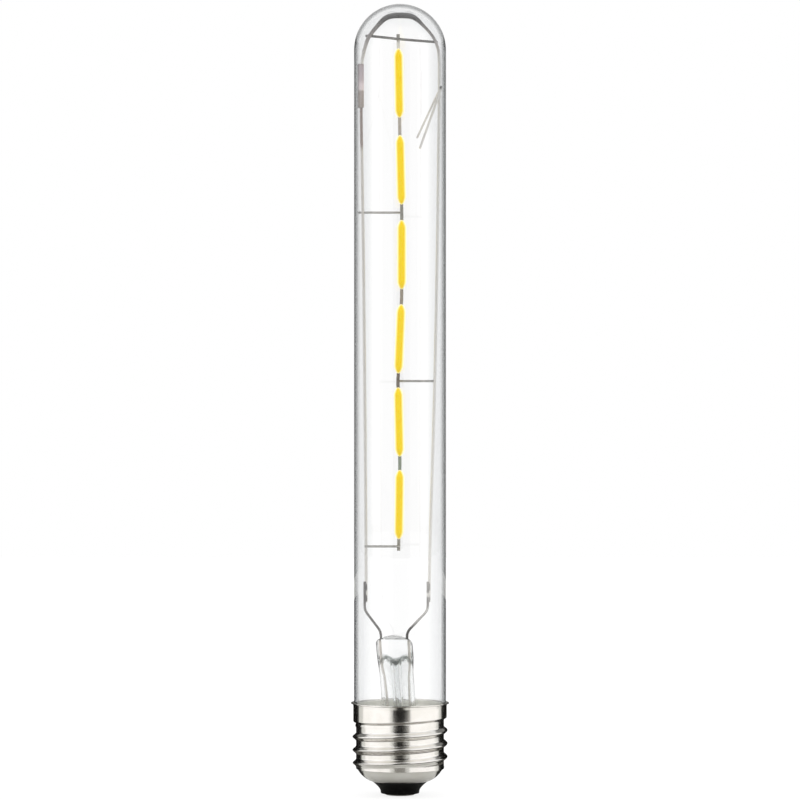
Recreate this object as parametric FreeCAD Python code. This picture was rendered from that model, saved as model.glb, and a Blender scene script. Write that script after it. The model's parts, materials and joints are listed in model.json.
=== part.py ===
import FreeCAD, Part
import math
import os

from FreeCAD import Vector

# A clear tubular lamp with six LED filaments in a file and an Edison screw cap.
# The lamp stands on the Z axis, cap down, with the foot of its contact at height 0.
# X runs across the filament frame and Y through it. Sizes are in millimetres.

# Glass envelope
overall_length = 218.0
glass_radius = 12.65
glass_wall = 0.8
dome_thickness = 2.0
seal_share = 0.586
neck_drop = 1.3
neck_under_collar = 0.3
neck_gap = 0.75
neck_steps = 2
tube_sides = 40
dome_steps = 8

# Stem of the envelope: flare, tube and flat press, leaning to the left
stem_height = 29.2
press_height = 6.2
squeeze_height = 4.5
flare_rim = 0.8
flare_gap = 0.1
bell_steps = 4
stem_sides = 24
stem_radius = 4.7
stem_wall = 1.0
stem_lean = 4.2
press_half_width = 5.05
press_half_thickness = 1.9
press_round = 1.2
press_steps = 2
lobe_radius = 0.95
lobe_relief = 0.15
lobe_offset = 2.45
lobe_drop = 5.55
exhaust_radius = 1.4
exhaust_bore = 0.6
exhaust_hang = 4.6
exhaust_point = 2.2
exhaust_hole = 0.8

# Wires of the frame
frame_radius = 0.4
lead_radius = 0.35
side_radius = 0.325
hook_up_radius = 0.25
wire_sides = 10
fine_sides = 12
lead_spread = 3.6
lead_overlap_shift = 0.35
left_lead_rise = 1.0
right_lead_rise = 0.7
lead_bend_drop = 2.2
foot_rise = 9.0
weld_length = 5.7
weld_spot_radius = 0.5
weld_spot_length = 2.8
weld_spot_ends = (0.4, 0.55)
left_foot_share = 0.789
right_foot_share = 0.675
rod_gap = 0.6
arch_foot_drop = 13.4
arch_gap = 0.9
wire_bend = 3.0
arch_bend = 2.6
bend_step = 22.0
leg_straight = 0.5

# Insulating tube on the left rod
insulator_radius = 0.95
insulator_bore_gap = 0.06
insulator_glass_gap = 0.15
insulator_drop = 16.5
insulator_length = 12.1
insulator_grip = 5.3

# Centring spring on the right rod
spring_radius = 0.22
spring_drop = 22.9
spring_fall = 15.4
spring_reach = 6.0
spring_glass_gap = 0.06
spring_half_back = 0.5

# Filaments: carrier strip, coat and the places of the joints between them
cross_wire_left_drop = 8.8
cross_wire_right_drop = 10.5
chain_foot_rise = 15.4
strip_width = 0.9
strip_thickness = 0.4
tab_lap_share = 0.62
coat_share = 0.82
coat_radius = 1.05
coat_end_radius = 0.6
coat_taper = 2.2
coat_bulge_share = 0.72
coat_bulge_drop = 0.3

# Cap: rolled screw shell of sheet metal, round sleeve, screw and bowl
cap_height = 25.6
cap_sides = 28
cap_wall = 0.3
crest_reach = 0.45
thread_depth = 1.0
thread_pitch = 3.629
thread_lead_in = 0.73
crest_half_width = 0.3
shoulder_half_width = 0.8
shoulder_share = 0.72
ridge_half_width = 1.45
collar_gap = 0.1
collar_height = 4.4
collar_slope = 0.7
flare_height = 0.9
rim_reach = 0.47
rim_lip = 0.3
run_out_gap = 0.04
bowl_top_share = 0.32
bowl_bottom_share = 0.1523
bowl_bulge = 0.75
bowl_hole_share = 0.628
bowl_steps = 4

# Insulator and contact button at the foot, radii as shares of the bowl's hole
insulator_foot_share = 0.697
insulator_slope_share = 0.737
insulator_waist_share = 0.875
insulator_edge = 0.25
insulator_flange = 1.1
insulator_board_gap = 1.0
contact_share = 0.85
contact_flat_share = 0.49
contact_dome = 0.6
contact_edge = 0.45
shank_radius = 1.25
shank_bore = 0.5
seat_gap = 0.03

# Cement ring
cement_drop = 2.1
cement_under_collar = 3.6
cement_gap = 0.05

# Driver board and its parts, their sizes and places as shares of the board's radius
board_side_gap = 1.0
board_thickness = 1.0
board_gap = 0.05
board_lead_x = 2.9
solder_tail = 0.5
rectifier_size = (0.435, 0.361, 0.222)
rectifier_place = (0.5, 0.481)
chip_size = (0.454, 0.361, 0.139)
chip_place = (-0.5, -0.481)
package_edge = 0.2
leg_width = 0.5
leg_thickness = 0.2
leg_reach = 0.9
leg_row = 0.353
capacitor_radius_share = 0.231
capacitor_height_share = 0.75
capacitor_place = (-0.481, 0.454)
capacitor_groove = 0.25
resistor_radius_share = 0.102
resistor_length_share = 0.426
resistor_place = (0.407, -0.463)
resistor_lift = 0.2
resistor_pin_reach = 0.7
resistor_bend = 0.4
shell_wire_edge = 0.7
shell_wire_steps = (1.0, 3.0)
shell_wire_drop = 1.15
shell_wire_end = 0.5
contact_wire_gap = 0.2

# Values worked out from the sizes above
inner_radius = glass_radius - glass_wall
collar_inner_radius = glass_radius + collar_gap
collar_radius = collar_inner_radius + cap_wall
crest_radius = glass_radius + crest_reach
root_radius = crest_radius - thread_depth
rim_radius = collar_radius + rim_reach
neck_radius = root_radius - cap_wall - neck_gap
collar_bottom = cap_height - collar_height
flare_start = cap_height - flare_height
bowl_top = bowl_top_share * cap_height
bowl_bottom = bowl_bottom_share * cap_height
bowl_hole = bowl_hole_share * root_radius
thread_start = bowl_top - thread_lead_in
seal_height = seal_share * cap_height
neck_top = cap_height - neck_drop
neck_bottom = collar_bottom - neck_under_collar
dome_centre = overall_length - glass_radius
dome_inner_top = overall_length - dome_thickness
dome_inner_centre = dome_inner_top - inner_radius
throat_height = seal_height + neck_radius - glass_wall - flare_gap - stem_radius
press_top = seal_height + stem_height
press_foot = press_top - press_height
press_start = press_foot - squeeze_height
exhaust_top = press_top - lobe_drop - lobe_radius
exhaust_tip = seal_height - exhaust_hang
frame_foot = press_top + foot_rise
weld_top = frame_foot + weld_length
left_foot_x = -left_foot_share * inner_radius
right_foot_x = right_foot_share * inner_radius
arch_foot = overall_length - arch_foot_drop
arch_top = dome_inner_top - arch_gap - frame_radius
insulator_top = overall_length - insulator_drop
insulator_bottom = insulator_top - insulator_length
right_top_x = inner_radius - rod_gap - frame_radius
left_top_x = insulator_radius + insulator_glass_gap - inner_radius
board_radius = root_radius - cap_wall - board_side_gap
insulator_foot_radius = insulator_foot_share * bowl_hole
contact_radius = contact_share * insulator_foot_radius
contact_flat_radius = contact_flat_share * contact_radius
contact_seat = contact_dome + contact_edge

# Shape of the rods: share of the height above the foot, share of the way out to the glass
left_bow = ((0.0, 0.0), (0.09, 0.0), (0.37, 0.25), (0.64, 0.54), (0.81, 0.86), (0.885, 1.0))
right_bow = ((0.0, 0.0), (0.08, 0.04), (0.37, 0.54), (0.65, 0.82), (0.89, 1.0))

# Shape of the bend under the dome: share of the way out, share of the height of the bend
arch_shape = ((0.865, 0.50), (0.40, 1.0), (-0.43, 1.0), (-0.80, 0.64), (-0.895, 0.29))

# The seven joints of the chain: share of the way down, place across
chain_shape = ((0.0, -0.5), (0.1745, -0.08), (0.342, 0.48), (0.508, 0.45),
               (0.6745, -0.55), (0.8355, -0.05), (1.0, -0.36))


def round_points(centre_x, centre_z, radius, from_angle, to_angle, steps):
    """(radius, height) points along an arc."""
    points = []
    for step in range(steps + 1):
        turn = math.radians(from_angle + (to_angle - from_angle) * step / steps)
        points.append((centre_x + radius * math.cos(turn), centre_z + radius * math.sin(turn)))
    return points


def ring(radius, height, sides):
    corners = []
    for side in range(sides):
        turn = 2 * math.pi * side / sides
        corners.append(Vector(radius * math.cos(turn), radius * math.sin(turn), height))
    return corners


def flat_face(corners):
    return Part.Face(Part.makePolygon(corners + [corners[0]]))


def closed_solid(faces):
    shell = Part.Shell(faces)
    shell.sewShape()
    solid = Part.Solid(shell)
    if solid.Volume < 0:
        solid.reverse()
    return solid.removeSplitter()


def turned(outline, sides):
    """Many-sided solid of revolution about Z, from a closed outline of (radius, height) points."""
    faces = []
    for (first, low), (second, high) in zip(outline, outline[1:] + outline[:1]):
        below = ring(first, low, sides)
        above = ring(second, high, sides)
        if first == 0 and second == 0:
            continue
        if low == high and 0 in (first, second):
            faces.append(flat_face(above if first == 0 else below))
            continue
        for side in range(sides):
            corners = [below[side - 1], below[side], above[side], above[side - 1]]
            if first == 0:
                corners = corners[1:]
            if second == 0:
                corners = corners[:-1]
            faces.append(flat_face(corners))
    return closed_solid(faces)


def skinned(rings):
    """Solid over a stack of rings with the same number of corners."""
    faces = [flat_face(rings[0]), flat_face(rings[-1])]
    for low, high in zip(rings, rings[1:]):
        for side in range(len(low)):
            faces.append(flat_face([low[side - 1], low[side], high[side]]))
            faces.append(flat_face([low[side - 1], high[side], high[side - 1]]))
    return closed_solid(faces)


def turned_rod(radius, bottom, top, sides):
    return turned([(0, bottom), (radius, bottom), (radius, top), (0, top)], sides)


def bend_points(before, corner, after, bend):
    """The corner itself where the turn is slight, else points along the arc that rounds it."""
    way_in = corner - before
    way_out = after - corner
    shorter = min(way_in.Length, way_out.Length)
    way_in.normalize()
    way_out.normalize()
    turn = way_in.getAngle(way_out)
    steps = math.ceil(math.degrees(turn) / bend_step)
    if steps < 2:
        return [corner]
    cut_back = min(bend * math.tan(turn / 2), 0.45 * shorter)
    radius = cut_back / math.tan(turn / 2)
    along = way_in + way_out
    inward = way_out - way_in
    along.normalize()
    inward.normalize()
    centre = corner + inward * (radius / math.cos(turn / 2))
    points = []
    for step in range(steps + 1):
        angle = (step / steps - 0.5) * turn
        points.append(centre - inward * (radius * math.cos(angle)) + along * (radius * math.sin(angle)))
    return points


def bent_wire(points, radius, bend):
    """Many-sided wire along a route, its runs mitred where they meet."""
    corners = [Vector(*point) for point in points]
    route = [corners[0]]
    for before, corner, after in zip(corners, corners[1:], corners[2:]):
        route += bend_points(before, corner, after, bend)
    route.append(corners[-1])
    runs = [(after - before).normalize() for before, after in zip(route, route[1:])]
    across = Vector(0, 1, 0).cross(runs[0])
    if across.Length < 0.5:
        across = Vector(0, 0, 1).cross(runs[0])
    across.normalize()
    upward = runs[0].cross(across)
    loop = [route[0] + across * corner.x + upward * corner.y for corner in ring(radius, 0, wire_sides)]
    faces = [flat_face(loop)]
    for index, run in enumerate(runs):
        end = route[index + 1]
        mitre = run + runs[min(index + 1, len(runs) - 1)]
        after = [corner + run * ((end - corner).dot(mitre) / run.dot(mitre)) for corner in loop]
        for side in range(wire_sides):
            faces.append(flat_face([loop[side - 1], loop[side], after[side], after[side - 1]]))
        loop = after
    faces.append(flat_face(loop))
    return closed_solid(faces)


def place_on(points, height):
    """The x of a route of (x, height) points at one height."""
    ordered = sorted(points, key=lambda point: point[1])
    for low, high in zip(ordered, ordered[1:]):
        if height <= high[1]:
            break
    share = (height - low[1]) / (high[1] - low[1])
    return low[0] + share * (high[0] - low[0])


def export(name, shape):
    shape.exportStep("parts/" + name + ".step")


# Glass envelope: tube, round end thicker at its crown, neck drawn in for the cap
def neck_bend():
    drop = neck_top - neck_bottom
    step = glass_radius - neck_radius
    return (drop ** 2 + step ** 2) / (4 * step)


def neck_points(outset):
    """Two equal arcs, upright at both ends, from the tube down to the neck."""
    bend = neck_bend()
    turn = math.degrees(math.asin((neck_top - neck_bottom) / 2 / bend))
    upper = round_points(glass_radius + outset - bend, neck_top, bend, 0, -turn, neck_steps)
    lower = round_points(neck_radius + outset + bend, neck_bottom, bend, 180 - turn, 180, neck_steps)
    return upper + lower[1:]


def envelope_body(inset, top, centre, foot):
    """Filled form of one face of the envelope, outer or inner."""
    dome = round_points(0, centre, glass_radius - inset, 0, 90, dome_steps)
    foot_corners = [(0, foot), (neck_radius - inset, foot)]
    return turned(foot_corners + neck_points(-inset)[::-1] + dome[:-1] + [(0, top)], tube_sides)


def glass_envelope():
    outside = envelope_body(0, overall_length, dome_centre, seal_height)
    inside = envelope_body(glass_wall, dome_inner_top, dome_inner_centre, seal_height - glass_wall)
    return outside.cut(inside)


# Stem: an upright flare, and above its throat a tube and press that lean to the left
def lean(shape):
    leaned = shape.copy()
    leaned.rotate(Vector(0, 0, throat_height), Vector(0, 1, 0), -stem_lean)
    return leaned


def lean_corner(corner):
    turn = math.radians(stem_lean)
    rise = corner.z - throat_height
    return Vector(corner.x * math.cos(turn) - rise * math.sin(turn), corner.y,
                  throat_height + corner.x * math.sin(turn) + rise * math.cos(turn))


def stem_axis(height):
    return -math.tan(math.radians(stem_lean)) * (height - throat_height)


def stem_section(half_width, half_thickness, height, leaned):
    """Ring of corners, round where both sizes are equal and flat sided where they differ."""
    corners = []
    for step in range(stem_sides):
        turn = 2 * math.pi * (step + 0.5) / stem_sides
        flat = math.copysign(half_width - half_thickness, math.cos(turn))
        corners.append(Vector(flat + half_thickness * math.cos(turn), half_thickness * math.sin(turn), height))
    return [lean_corner(corner) for corner in corners] if leaned else corners


def bell_sections(offset):
    """Flare from the rim in to the throat, on its outer face or one wall inside it."""
    bend = throat_height - seal_height
    points = round_points(stem_radius + bend, throat_height, bend + offset, 270, 180, bell_steps)
    return [stem_section(radius, radius, height, False) for radius, height in points]


def stem_outside():
    rim = turned_rod(neck_radius, seal_height - flare_rim, seal_height, stem_sides)
    mouth = neck_radius - glass_wall - flare_gap
    sections = [stem_section(mouth, mouth, seal_height - flare_rim / 2, False)] + bell_sections(0)
    sections.append(stem_section(stem_radius, stem_radius, press_start, True))
    edge = round_points(press_half_width - press_round, press_top - press_round, press_round, 0, 90, press_steps)
    for width, height in [(press_half_width, press_foot)] + edge:
        thickness = press_half_thickness - press_half_width + width
        sections.append(stem_section(width, thickness, height, True))
    return skinned(sections).fuse(rim)


def stem_hollow():
    """Inside of the flare and tube, the two lobes round the leads and the exhaust's way out."""
    lobe_top = press_top - lobe_drop
    bore_top = lobe_top - 2 * lobe_radius
    bore = stem_radius - stem_wall
    half_thickness = lobe_radius - lobe_relief
    sections = bell_sections(stem_wall)
    sections.append(stem_section(bore, bore, press_start, True))
    sections.append(stem_section(lobe_offset + lobe_radius + half_thickness / 2, half_thickness, bore_top, True))
    riser = 1.4 * exhaust_hole
    vent = turned_rod(exhaust_hole, 0, 2 * press_half_thickness, wire_sides)
    vent.rotate(Vector(0, 0, 0), Vector(1, 0, 0), -90)
    vent.translate(Vector(0, 0, exhaust_top + riser))
    details = [vent, turned_rod(exhaust_bore, exhaust_top, exhaust_top + riser, wire_sides)]
    dome = round_points(0, lobe_top - lobe_radius, lobe_radius, 0, 60, 2)
    for side in (-1, 1):
        foot = bore_top - lobe_radius
        lobe = turned([(0, foot), (lobe_radius, foot)] + dome + [(0, dome[-1][1])], wire_sides)
        lobe.translate(Vector(side * lobe_offset, 0, 0))
        details.append(lobe)
    return skinned(sections).fuse([lean(detail) for detail in details])


def stem_glass(wires, exhaust):
    return stem_outside().cut(stem_hollow()).cut([exhaust] + wires)


def exhaust_body():
    return lean(turned([(0, exhaust_tip), (exhaust_radius, exhaust_tip + exhaust_point),
                        (exhaust_radius, exhaust_top), (0, exhaust_top)], fine_sides))


def exhaust_tube():
    foot = exhaust_tip + 2 * exhaust_point
    bore = turned([(0, foot - exhaust_bore), (exhaust_bore, foot), (exhaust_bore, exhaust_top),
                   (0, exhaust_top)], fine_sides)
    return exhaust_body().cut(lean(bore))


# Routes of the two sides of the frame, as (x, height) points
def rod_route(bow, foot_x, top_x, top):
    points = []
    for height_share, way_out in bow:
        points.append((foot_x + way_out * (top_x - foot_x), frame_foot + height_share * (top - frame_foot)))
    return points


def left_route():
    inside = insulator_bottom + insulator_grip
    return rod_route(left_bow, left_foot_x, left_top_x, arch_foot) + [(left_top_x, inside)]


def right_route():
    return rod_route(right_bow, right_foot_x, right_top_x, arch_foot)


def arch_route():
    points = []
    for way_out, rise in arch_shape:
        side_x = right_top_x if way_out > 0 else -left_top_x
        points.append((way_out * side_x, arch_foot + rise * (arch_top - arch_foot)))
    return points


def upright(points):
    return [(x, 0, height) for x, height in points]


def frame_rod_left():
    return bent_wire(upright(left_route()), frame_radius, wire_bend)


def frame_hairpin():
    leg = [(left_top_x, insulator_top + leg_straight), (left_top_x, insulator_top - insulator_grip)]
    route = right_route() + [(right_top_x, arch_foot)] + arch_route() + leg
    return bent_wire(upright(route), frame_radius, arch_bend)


# Leads: from the board, through stem and press, out to a lap beside each rod
def lead_route(side, rod_x, rise):
    lap_x = rod_x - lead_overlap_shift
    touch = frame_radius + lead_radius
    lap_y = -math.sqrt(touch ** 2 - lead_overlap_shift ** 2)
    press_lead = press_top - lobe_drop + lead_radius
    return [
        (side * board_lead_x, 0, board_foot() - solder_tail),
        (side * board_lead_x, 0, throat_height),
        (stem_axis(press_lead) + side * lead_spread, 0, press_lead),
        (stem_axis(press_top) + side * lead_spread, 0, press_top + rise),
        (lap_x, lap_y, frame_foot - lead_bend_drop),
        (lap_x, lap_y, weld_top),
    ]


def lead_wire(side, rod_x, rise, rod):
    route = lead_route(side, rod_x, rise)
    lap_x, lap_y, top = route[-1]
    wire = bent_wire(route, lead_radius, wire_bend)
    share = frame_radius / (frame_radius + lead_radius)
    touch = Vector(rod_x + (lap_x - rod_x) * share, lap_y * share, 0)
    half = weld_spot_length / 2
    low_end, high_end = weld_spot_ends
    for height in (frame_foot + 2 * low_end * half, top - 2 * high_end * half):
        spot = turned([(0, -half), (weld_spot_radius, -half / 2), (weld_spot_radius, half / 2), (0, half)], wire_sides)
        spot.translate(touch + Vector(0, 0, height))
        wire = wire.fuse(spot.cut(rod))
    return wire


# Ceramic tube over the meeting ends of the left rod and the hairpin
def insulator_tube():
    sleeve = turned_rod(insulator_radius, insulator_bottom, insulator_top, fine_sides)
    bore = turned_rod(frame_radius + insulator_bore_gap, insulator_bottom, insulator_top, fine_sides)
    tube = sleeve.cut(bore)
    tube.translate(Vector(left_top_x, 0, 0))
    return tube


# Cross wires: each laps the frame at one end and a filament tab at the other
def joint(number):
    share, x = chain_shape[number]
    top = cross_wire_height(x)
    return Vector(x, 0, top + share * (chain_foot() - top))


def chain_foot():
    return frame_foot + chain_foot_rise


def cross_wire_ends():
    left_height = overall_length - cross_wire_left_drop
    right_height = overall_length - cross_wire_right_drop
    whole_arch = [(right_top_x, arch_foot)] + arch_route() + [(left_top_x, insulator_top)]
    left_side = [point for point in whole_arch if point[0] < 0]
    right_side = [point for point in whole_arch if point[0] > 0]
    return (place_on(left_side, left_height), left_height), (place_on(right_side, right_height), right_height)


def cross_wire_height(x):
    (left_x, left_height), (right_x, right_height) = cross_wire_ends()
    return left_height + (x - left_x) / (right_x - left_x) * (right_height - left_height)


def top_cross_wire():
    (left_x, left_height), (right_x, right_height) = cross_wire_ends()
    depth = frame_radius + frame_radius
    tab = joint(0)
    return bent_wire([(left_x, depth, left_height), (tab.x, strip_thickness + frame_radius, tab.z),
                      (right_x, depth, right_height)], frame_radius, wire_bend)


def side_wire(rod_x, chain_joint, face, past_rod=0.0):
    """Wire from beyond the rod to just past the tabs; face is +1 behind, -1 in front."""
    side = math.copysign(1, rod_x)
    start = (rod_x + side * (frame_radius + past_rod), face * (frame_radius + side_radius), chain_joint.z)
    end = (chain_joint.x - side * strip_width / 2, face * (strip_thickness + side_radius), chain_joint.z)
    return bent_wire([start, end], side_radius, wire_bend)


def side_wire_upper():
    place = joint(2)
    rod_x = place_on(left_route(), place.z)
    depth = frame_radius + 2 * side_radius
    glass_x = math.sqrt((inner_radius - spring_glass_gap) ** 2 - depth ** 2)
    return side_wire(rod_x, place, 1, glass_x + rod_x - frame_radius)


def side_wire_middle():
    place = joint(4)
    return side_wire(place_on(right_route(), place.z), place, 1)


def side_wire_lower():
    place = joint(6)
    return side_wire(place_on(left_route(), place.z), place, -1)


# Spring: a wire bent over the outer side of the right rod, its feet on the glass
def centring_spring():
    height = overall_length - spring_drop
    rod_x = place_on(right_route(), height)
    back = rod_x + frame_radius + spring_radius
    foot_x = rod_x - spring_reach
    foot_y = math.sqrt((inner_radius - spring_glass_gap - spring_radius) ** 2 - foot_x ** 2)
    low = height - spring_fall
    return bent_wire([(foot_x, -foot_y, low), (back, -spring_half_back, height), (back, spring_half_back, height),
                      (foot_x, foot_y, low)], spring_radius, spring_half_back)


# Filaments: flat carrier strips lap each other in turn, and each has its coat
def filament_frame(number):
    start = joint(number - 1)
    end = joint(number)
    axis = start - end
    middle = (start + end) * 0.5
    face = 1 if number % 2 else -1
    middle.y = face * strip_thickness / 2
    return middle, axis


def along_filament(shape, number):
    middle, axis = filament_frame(number)
    shape.rotate(Vector(0, 0, 0), Vector(0, 1, 0), math.degrees(math.atan2(axis.x, axis.z)))
    shape.translate(middle)
    return shape


def coat_length():
    return coat_share * (cross_wire_height(0) - chain_foot()) / (len(chain_shape) - 1)


def strip_blank(number):
    length = filament_frame(number)[1].Length
    half = length / 2 + tab_lap_share * (length - coat_length()) / 2
    return Part.makeBox(strip_width, strip_thickness, 2 * half,
                        Vector(-strip_width / 2, -strip_thickness / 2, -half))


def filament_strip(number):
    return along_filament(strip_blank(number), number)


def filament_coat(number):
    half = coat_length() / 2
    bulge = coat_end_radius + coat_bulge_share * (coat_radius - coat_end_radius)
    top = [(coat_radius, half - coat_taper), (bulge, half - coat_bulge_drop * coat_taper), (coat_end_radius, half)]
    foot = [(radius, -height) for radius, height in reversed(top)]
    coat = turned([(0, -half)] + foot + top + [(0, half)], fine_sides)
    return along_filament(coat.cut(strip_blank(number)), number)


# Cap shell: bowl, rolled screw thread, collar and flared rim, outside less inside
def bowl_points(offset):
    """The bowl's round wall from its hole up to the screw, one wall thickness in for its inner face."""
    top = Vector(root_radius, 0, bowl_top)
    foot = Vector(bowl_hole, 0, bowl_bottom)
    chord = foot - top
    bend = chord.Length ** 2 / (8 * bowl_bulge) + bowl_bulge / 2
    inward = Vector(chord.z, 0, -chord.x)
    inward.normalize()
    centre = (top + foot) * 0.5 + inward * (bend - bowl_bulge)
    top_turn = math.degrees(math.asin((top.z - centre.z) / bend))
    foot_turn = -math.degrees(math.acos((foot.x - centre.x) / (bend - offset)))
    return round_points(centre.x, centre.z, bend - offset, foot_turn, top_turn, bowl_steps)


def bowl_height_at(radius, offset):
    return place_on([(height, distance) for distance, height in bowl_points(offset)], radius)


def shell_form(offset):
    """Filled form of one face of the shell; the inner one runs on past the rim to open it."""
    side = collar_radius - offset
    lip = rim_radius - offset
    step = collar_bottom + offset
    wall = bowl_points(offset)
    return turned([(0, wall[0][1])] + wall + [
        (root_radius - offset, step),
        (side, step + collar_slope),
        (side, flare_start),
        (lip, cap_height - rim_lip),
        (lip, cap_height + offset),
        (0, cap_height + offset),
    ], cap_sides)


def ridge_section(offset):
    """Section of the rolled ridge as (radius, height) points, its root sunk in the wall."""
    crest = crest_radius - offset
    root = root_radius - offset
    shoulder = root + shoulder_share * (crest - root)
    half = ridge_half_width - offset / 3
    shoulder_half = shoulder_half_width - offset / 3
    crest_half = crest_half_width - offset / 3
    return [(root - cap_wall, -half), (shoulder, -shoulder_half), (crest, -crest_half),
            (crest, crest_half), (shoulder, shoulder_half), (root - cap_wall, half)]


def thread_ridge(offset):
    """Right-hand helical ridge, lofted through level steps round the axis."""
    points = ridge_section(offset)
    rise = collar_bottom + collar_slope + ridge_half_width - thread_start
    steps = math.ceil(rise / thread_pitch * cap_sides)
    sections = []
    for step in range(steps + 1):
        turn = 2 * math.pi * step / cap_sides
        lift = thread_start + thread_pitch * step / cap_sides
        corners = [Vector(radius * math.cos(turn), radius * math.sin(turn), height + lift)
                   for radius, height in points]
        sections.append(Part.makePolygon(corners + [corners[0]]))
    return Part.makeLoft(sections, True, True)


def run_out(offset):
    """Space that the ridge keeps to: it dies out on the bowl and inside the collar."""
    root = root_radius - offset
    over = crest_radius - offset + thread_depth / 2
    inside = collar_radius - offset - run_out_gap
    start = bowl_top + offset
    top = flare_start - run_out_gap
    return turned([
        (0, start), (root, start), (over, start + over - root),
        (over, collar_bottom + offset), (inside, collar_bottom + collar_slope + offset),
        (inside, top), (0, top),
    ], cap_sides)


def screw_body(offset):
    return shell_form(offset).fuse(thread_ridge(offset).common(run_out(offset)))


def cap_shell():
    hole = turned_rod(bowl_hole + seat_gap, 0, bowl_top, cap_sides)
    return screw_body(0).cut(screw_body(cap_wall)).cut(hole)


# Insulator: grips the edge of the shell's hole and seats the contact
def cap_insulator():
    foot = insulator_foot_radius
    flange = bowl_hole + insulator_flange
    pocket = contact_radius + seat_gap
    top = board_foot() - insulator_board_gap
    return turned([
        (shank_radius, contact_seat), (pocket, contact_seat), (pocket, contact_dome),
        (foot - insulator_edge, contact_dome), (foot, contact_dome + insulator_edge),
        (foot, bowl_bottom / 3), (insulator_slope_share * bowl_hole, bowl_bottom / 2),
        (insulator_waist_share * bowl_hole, 0.8 * bowl_bottom), (bowl_hole, bowl_bottom - seat_gap),
        (bowl_hole, bowl_height_at(bowl_hole, cap_wall) + seat_gap),
        (flange, bowl_height_at(flange, cap_wall) + seat_gap), (flange, top), (shank_radius, top),
    ], cap_sides)


def centre_contact():
    """Domed button with a flat middle and a hollow shank for its wire."""
    shank = shank_radius - seat_gap
    shoulder = contact_radius - contact_dome
    top = board_foot() - insulator_board_gap + seat_gap
    return turned([
        (0, 0), (contact_flat_radius, 0), (shoulder, contact_dome / 3), (contact_radius, contact_dome),
        (contact_radius, contact_seat - seat_gap), (shank, contact_seat - seat_gap), (shank, top),
        (shank_bore, top), (shank_bore, contact_seat), (0, contact_seat),
    ], cap_sides)


# Cement ring between the glass neck and the cap
def basing_cement(wire):
    """Follows the neck on its inner side, with its corners clear of the round glass."""
    bottom = collar_bottom - cement_under_collar
    top = cap_height - cement_drop
    low = root_radius - cap_wall - cement_gap
    high = collar_inner_radius - cement_gap
    step = collar_bottom + cap_wall + cement_gap
    clear = 1 / math.cos(math.pi / cap_sides)
    neck = [point for point in neck_points(cement_gap) if point[1] < top]
    last_x = place_on(neck_points(cement_gap), top)
    inner = [(last_x, top)] + neck + [(neck_radius + cement_gap, bottom)]
    inner = [(radius * clear, height) for radius, height in inner]
    body = turned([(low, bottom), (low, step), (high, step + collar_slope), (high, top)] + inner, cap_sides)
    return body.cut(wire)


# Driver: a round board on the slope of the bowl, with its parts on top
def board_foot():
    return bowl_height_at(board_radius + board_gap, cap_wall) + board_gap


def board_top():
    return board_foot() + board_thickness


def on_board(shape, place):
    shape.translate(Vector(place[0] * board_radius, place[1] * board_radius, board_top()))
    return shape


def driver_board(wires):
    return turned_rod(board_radius, board_foot(), board_top(), cap_sides).cut(wires)


def chip_package(size, place, legs_each_side):
    """Moulded package with bent legs on its two long sides, standing on the board."""
    length, width, height = [share * board_radius for share in size]
    lift = leg_thickness
    body = Part.makeBox(length, width, height, Vector(-length / 2, -width / 2, lift))
    body = body.makeChamfer(package_edge, [edge for edge in body.Edges if edge.BoundBox.ZMin > lift + height / 2])
    middle = lift + height / 2
    pitch = leg_row * board_radius / (legs_each_side - 1)
    for index in range(legs_each_side):
        x = (index - (legs_each_side - 1) / 2) * pitch
        for side in (-1, 1):
            root = side * width / 2
            knee = side * (width / 2 + leg_reach - leg_width)
            toe = side * (width / 2 + leg_reach)
            heel = knee - side * leg_thickness
            outline = [(root, middle), (knee, middle), (knee, lift), (toe, lift), (toe, 0),
                       (heel, 0), (heel, middle - lift), (root, middle - lift)]
            leg = flat_face([Vector(x - leg_width / 2, y, z) for y, z in outline])
            body = body.fuse(leg.extrude(Vector(leg_width, 0, 0)))
    return on_board(body, place)


def smoothing_capacitor():
    """Standing can with the crimped groove above its base."""
    radius = capacitor_radius_share * board_radius
    height = capacitor_height_share * (seal_height - flare_rim - board_top())
    groove = capacitor_groove
    can = turned([(0, 0), (radius, 0), (radius, 3 * groove), (radius - groove, 4 * groove), (radius, 5 * groove),
                  (radius, height - groove), (radius - groove, height), (0, height)], fine_sides)
    return on_board(can, capacitor_place)


def fusible_resistor():
    """Axial body lying on the board, its two wires bent down into their holes."""
    radius = resistor_radius_share * board_radius
    half = resistor_length_share * board_radius / 2
    edge = radius / 3
    body = turned([(0, -half), (radius - edge, -half), (radius, edge - half), (radius, half - edge),
                   (radius - edge, half), (0, half)], fine_sides)
    body.rotate(Vector(0, 0, 0), Vector(0, 1, 0), 90)
    lift = resistor_lift + radius
    body.translate(Vector(0, 0, lift))
    pin = half + resistor_pin_reach
    foot = -board_thickness - solder_tail
    pins = bent_wire([(-pin, 0, foot), (-pin, 0, lift), (pin, 0, lift), (pin, 0, foot)], hook_up_radius, resistor_bend)
    return on_board(body.fuse(pins), resistor_place)


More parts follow.
